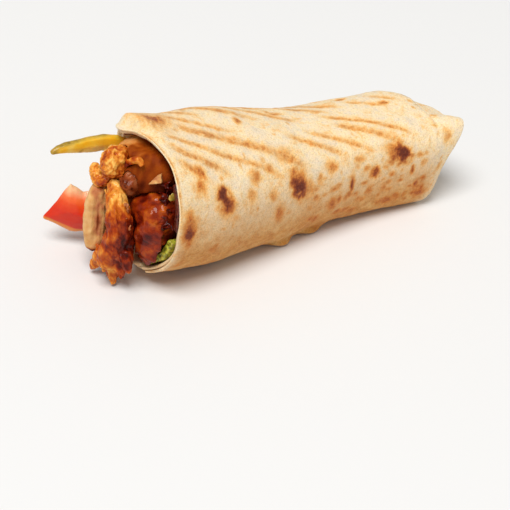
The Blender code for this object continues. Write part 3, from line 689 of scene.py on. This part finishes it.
def make_slice():
    """A slice cut across the grain: a cream rind round a pinkish middle, brown skin outside."""
    mesh = softened("chicken_slice", 0.45, 3)
    at = points_of(mesh)
    sideways, height = 0.766 * at[:, 0] - 0.643 * at[:, 1], at[:, 2]
    core = ease(3.6 - abs(sideways + 15.2), 0.0, 2.2) * ease(height, 18.0, 24.0)
    core *= 1.0 - ease(height, 39.0, 45.0)
    crease = patch(at, -15.5, 30.0, 0.7, 9.0)
    grains = pulled(drifted(at, 1.2, 5.0, 83), (0.1, -0.1, 1.0), 3.5)
    fibres = grain(grains, 1.6, 86)
    at = raise_by(mesh, 0.45 * grain(at, 4.5, 87) + 0.16 * fibres - 0.8 * core - 0.3 * crease)
    roast = 0.12 + 0.30 * core + 0.34 * crease + 0.09 * fibres + 0.26 * grain(at, 2.6, 88)
    roast += 0.12 * (1.0 - ease(height, 16.0, 24.0)) + 0.5 * patch(at, -17.0, 46.0, 2.6, 3.2)
    # the brown outer skin runs down its left edge and under it
    low_edge = 1.0 - ease(height + 0.9 * (sideways + 14.0), 5.0, 9.0)
    roast += 0.8 * np.maximum(low_edge, 1.0 - ease(height, 13.5, 16.5)) + 0.4 * ease(at[:, 0], -13.5, -11.0)
    paint(mesh, roast=np.clip(roast, 0, 1))
    piece = in_place("cut_chicken", mesh, "chicken_slice")
    piece.data.materials.append(meat_finish("cut_meat", CUT, 0.16, (1, 1, 4), 0.42, 0.35, 0.16))


def make_nugget():
    """A crisp golden lump, crusted all over, with smaller crusted bits beside it."""
    mesh = softened("chicken_nugget", 0.4, 2)
    at = points_of(mesh)
    warped = drifted(at, 1.2, 3.0, 89)
    crust = grain(warped, 1.9, 92)
    crag = 1.0 - 2.0 * abs(grain(warped, 4.0, 93))
    fine = grain(at, 0.9, 94)
    at = raise_by(mesh, 0.6 * crust + 0.7 * (crag - 0.7) + 0.25 * fine)
    roast = 0.46 - 0.22 * crust - 0.16 * (crag - 0.7) - 0.2 * fine + 0.2 * grain(at, 4.0, 95)
    roast -= 0.42 * patch(at, -9.5, 63.5, 4.6, 5.4) + 0.34 * ease(at[:, 1], 5.0, 8.0)
    paint(mesh, roast=np.clip(roast, 0, 1))
    piece = in_place("crisp_chicken", mesh, "chicken_nugget")
    piece.data.materials.append(bpy.data.materials["roasted_meat"])


def make_chunk():
    """A small piece of the inside, pinkish brown with dark pores."""
    mesh = softened("chicken_chunk", 0.45, 3)
    at = points_of(mesh)
    pores = np.clip(grain(at, 1.5, 96) - 0.2, 0.0, 1.0)
    at = raise_by(mesh, 0.5 * grain(at, 3.2, 97) - 0.9 * pores)
    paint(mesh, roast=np.clip(0.74 + 0.5 * pores + 0.25 * grain(at, 3.0, 98), 0, 1))
    piece = in_place("pink_chicken", mesh, "chicken_chunk")
    piece.data.materials.append(bpy.data.materials["cut_meat"])


def make_crisp_strip():
    """A curled crisp strip, golden above and dark in its hollow."""
    mesh = softened("chicken_strip", 0.35, 1)
    at = points_of(mesh)
    at = raise_by(mesh, 0.4 * grain(at, 2.0, 99) + 0.2 * grain(at, 1.0, 100))
    roast = 0.32 + 0.45 * (1.0 - ease(at[:, 2], 63.5, 67.0)) + 0.4 * grain(at, 2.6, 101)
    paint(mesh, roast=np.clip(roast, 0, 1))
    piece = in_place("crisp_strip", mesh, "chicken_strip")
    piece.data.materials.append(bpy.data.materials["roasted_meat"])


def shreds(name, strands, roast, finish):
    """Loose bits as one piece."""
    mesh = melted(strands, 0.3, 2)
    at = points_of(mesh)
    at = raise_by(mesh, 0.25 * grain(at, 1.6, 102))
    paint(mesh, roast=np.clip(roast + 0.4 * grain(at, 2.0, 103), 0, 1))
    in_place(name, mesh).data.materials.append(finish)


def make_shreds():
    """Small bits caught between the large pieces: a pale sliver, granules, dark juicy scraps."""
    corners = np.array(((-3.6, -16.1, 57.2), (0.4, -21.6, 59.9), (0.9, -19.9, 63.9), (-1.2, -18.0, 61.4)))
    corners = np.concatenate([corners, corners + (1.6, 1.4, -0.5)])
    sliver = mesh_of("sliver", corners, [(0, 3, 2, 1), (4, 5, 6, 7), (0, 1, 5, 4), (1, 2, 6, 5), (2, 3, 7, 6),
                                         (3, 0, 4, 7)])
    shreds("pale_sliver", [sliver], 0.32, bpy.data.materials["cut_meat"])
    rng = np.random.default_rng(8)
    scraps = []
    for k in range(17):
        share = k / 16.0
        start = np.array((3.0, -20.5, 58.0)) - share * np.array((3.0, 10.0, 18.0)) + rng.uniform(-1, 1, 3)
        turn = rng.normal(size=3)
        stop = start + 4.5 * turn / np.linalg.norm(turn)
        scraps.append(shred(start, stop, rng.uniform(1.0, 1.8), 200 + k))
    # a glossy brown fold under the upper lip, made dark: partly its own brown, partly painted shade in the fold
    scraps.append(shred((2.3, 14.0, 68.0), (2.6, 5.0, 71.4), 1.1, 230))
    shreds("juicy_scraps", scraps, 0.86, bpy.data.materials["glazed_meat"])
    granules = []
    for k in range(9):
        start = np.array((-13.4, -14.2 - 0.3 * k, 48.5 - 1.5 * k)) + rng.uniform(-0.8, 0.8, 3)
        granules.append(shred(start, start + rng.uniform(-1.6, 1.6, 3), rng.uniform(0.8, 1.2), 240 + k))
    shreds("granules", granules, 0.6, bpy.data.materials["cut_meat"])


make_glazed()
make_upper()
make_back()
make_front()
make_slice()
make_nugget()
make_chunk()
make_crisp_strip()
make_shreds()


# ------------------------------------------------------------------- the salad
# A strip of pickled cucumber and a wedge of tomato stick out at the far side;
# shredded lettuce, onion and a scrap of pepper lie against the bread.
def make_pickle():
    """A strip of gherkin lying on its side: amber flesh, a thin line of green skin on top."""
    mesh = softened("pickle_strip", 0.45, 4)
    at = points_of(mesh)
    at = raise_by(mesh, 0.15 * grain(at, 4.0, 92))
    top = at[:, 2] - (58.6 - 0.004 * (at[:, 0] + 8) ** 2)
    # the skin runs down over the tip, and shows at one nick below
    sideways = 0.766 * at[:, 0] - 0.643 * at[:, 1]
    tip = 1.0 - ease(sideways - sideways.min() - 0.4 * top, 1.5, 4.5)
    rind = np.maximum(ease(top, 2.9, 4.0), 0.8 * tip)
    rind = np.maximum(rind, 0.7 * bump(sideways - 0.9 * top, sideways.min() + 15.0, 0.9) * ease(0.5 - top, 0.0, 1.5))
    paint(mesh, rind=rind, low=(1.0 - ease(top, -4.5, 1.5)) * (1.0 - ease(sideways, -24.0, -10.0)))
    piece = in_place("pickle_strip_wet", mesh, "pickle_strip")
    pickle = Finish("pickle", Subsurface_Weight=0.25, Subsurface_Scale=0.004, Coat_Weight=0.35,
                    Coat_Roughness=0.15, Specular_IOR_Level=0.3)
    pickle.shader.inputs["Subsurface Radius"].default_value = (1.0, 0.7, 0.2)
    cloud = pickle.noise(6.0, 3.0)
    flesh = pickle.ramp(cloud, (0.3, (232, 170, 16)), (0.55, (238, 190, 52)), (0.75, (240, 206, 98)))
    pale = pickle.ramp(cloud, (0.3, (244, 218, 130)), (0.7, (250, 232, 172)))
    flesh = pickle.blend(pickle.painted("low"), flesh, pale)
    rind = pickle.ramp(pickle.noise(2.0, 3.0), (0.3, (132, 108, 30)), (0.7, (182, 146, 48)))
    pickle.colour(pickle.blend(pickle.painted("rind"), flesh, rind))
    pickle.roughness(pickle.math("ADD", 0.28, pickle.math("MULTIPLY", cloud, 0.2)))
    pickle.bumps((pickle.noise(1.0, 3.0), 0.1))
    piece.data.materials.append(pickle.material)


def make_tomato():
    """A wedge of tomato: wet red flesh, paler towards its point where light is painted on the upper cut face, skin
    along the lower edge.
    """
    mesh = softened("tomato_wedge", 0.5, 3)
    at = points_of(mesh)
    at = raise_by(mesh, 0.2 * grain(at, 5.0, 93))
    # paler upward: painted light on the upper cut face
    core = ease(at[:, 2] + 0.25 * (at[:, 0] + 15), 18.0, 36.0)
    stripe = bump(at[:, 2] - 0.22 * at[:, 0], 24.5, 1.4)
    below = at[:, 2] - np.interp(at[:, 0], (-26.0, -16.0, 0.0), (18.2, 13.6, 12.0))
    paint(mesh, core=np.clip(core - 0.25 * stripe, 0, 1), skin=1.0 - ease(below, -2.4, -1.0))
    piece = in_place("tomato_wedge_cut", mesh, "tomato_wedge")
    tomato = Finish("tomato", Subsurface_Weight=0.15, Subsurface_Scale=0.004, Coat_Weight=0.15,
                    Coat_Roughness=0.12, Specular_IOR_Level=0.25)
    tomato.shader.inputs["Subsurface Radius"].default_value = (1.0, 0.25, 0.1)
    cells = tomato.noise(3.0, 4.0)
    # the paler flesh upward is painted light on the upper cut face
    core = tomato.vary(tomato.painted("core"), cells, 0.25)
    flesh = tomato.ramp(core, (0.0, (214, 44, 10)), (0.4, (230, 74, 22)), (0.65, (242, 116, 62)),
                        (1.0, (252, 204, 156)))
    tomato.colour(tomato.blend(tomato.painted("skin"), flesh, (232, 138, 52)))
    tomato.roughness(tomato.math("ADD", 0.25, tomato.math("MULTIPLY", cells, 0.2)))
    tomato.bumps((tomato.noise(1.4, 3.0), 0.12))
    piece.data.materials.append(tomato.material)


def leaf_finish(name, light, dark, wet):
    leaf = Finish(name, Subsurface_Weight=0.2, Subsurface_Scale=0.002, Coat_Weight=wet,
                  Coat_Roughness=0.15)
    vein = leaf.noise(1.6, 4.0, (1.0, 1.0, 1.0), 0.6)
    leaf.colour(leaf.ramp(vein, (0.35, dark), (0.65, light)))
    leaf.roughness(leaf.math("ADD", 0.3, leaf.math("MULTIPLY", vein, 0.2)))
    leaf.bumps((vein, 0.5))
    return leaf.material


def make_greens():
    for node, name, finish in (
            ("lettuce_strip", "lettuce_shred", ("lettuce", (212, 204, 66), (100, 98, 12), 0.2)),
            ("onion_strip", "onion_shred", ("red_onion", (116, 44, 20), (56, 14, 6), 0.4)),
            ("pepper_piece", "pepper_scrap", ("pepper", (204, 176, 76), (150, 118, 36), 0.3))):
        mesh = softened(node, 0.45, 2)
        at = points_of(mesh)
        raise_by(mesh, 0.25 * grain(at, 3.0, 74))
        piece = in_place(name, mesh, node)
        piece.data.materials.append(leaf_finish(*finish))


make_pickle()
make_tomato()
make_greens()


# ------------------------------------------------- the table, the light, the eye
# A white table and a bright, soft light from above and behind.
def make_stage():
    floor = bpy.data.objects.new("table", bpy.data.meshes.new("table"))
    bm = bmesh.new()
    bmesh.ops.create_circle(bm, cap_ends=True, segments=64, radius=4.0)
    bm.to_mesh(floor.data)
    bm.free()
    bpy.context.collection.objects.link(floor)
    white = Finish("white_table", Roughness=0.6, Specular_IOR_Level=0.2)
    white.colour((*linear((233, 232, 230)), 1.0))
    floor.data.materials.append(white.material)


def add_light(name, direction, distance, size, power, colour=(1.0, 1.0, 1.0)):
    light = bpy.data.lights.new(name, "AREA")
    light.shape = "DISK"
    light.size = size
    light.energy = power
    light.color = colour
    lamp = bpy.data.objects.new(name, light)
    bpy.context.collection.objects.link(lamp)
    away = Vector(direction).normalized()
    lamp.location = away * distance
    lamp.rotation_euler = away.to_track_quat("Z", "Y").to_euler()


def add_camera():
    """The eye looks along the roll from its mouth's side and from above."""
    azimuth, elevation, tilt = math.radians(-40.0), math.radians(30.0), math.radians(6.7)
    back = Vector((math.sin(azimuth) * math.cos(elevation), -math.cos(azimuth) * math.cos(elevation),
                   math.sin(elevation)))
    level = Vector((math.cos(azimuth), math.sin(azimuth), 0.0))
    up = back.cross(level)
    right = level * math.cos(tilt) + up * math.sin(tilt)
    above = up * math.cos(tilt) - level * math.sin(tilt)
    target = (Vector((95.0, 0.0, 35.0)) + ROLL_AT) * MM
    place = target + back * 0.855
    # the roll lies in the upper left of the frame
    aim = target - right * 0.0185 - above * 0.0478
    back = (place - aim).normalized()
    right = above.cross(back).normalized()
    above = back.cross(right)
    eye = bpy.data.cameras.new("camera")
    eye.lens = 118.0
    eye.sensor_width = 36.0
    camera = bpy.data.objects.new("camera", eye)
    bpy.context.collection.objects.link(camera)
    turn = Matrix((right, above, back)).transposed()
    camera.matrix_world = Matrix.Translation(place) @ turn.to_4x4()
    bpy.context.scene.camera = camera


make_stage()
add_light("softbox_above", (-0.42, -0.25, 1.0), 7.0, 4.2, 462.0)
world = bpy.data.worlds.new("studio")
world.use_nodes = True
world.node_tree.nodes["Background"].inputs["Color"].default_value = (1.0, 1.0, 1.0, 1.0)
world.node_tree.nodes["Background"].inputs["Strength"].default_value = 0.38
bpy.context.scene.world = world
bpy.context.scene.view_settings.view_transform = "Standard"
add_camera()

low, high = cad_box
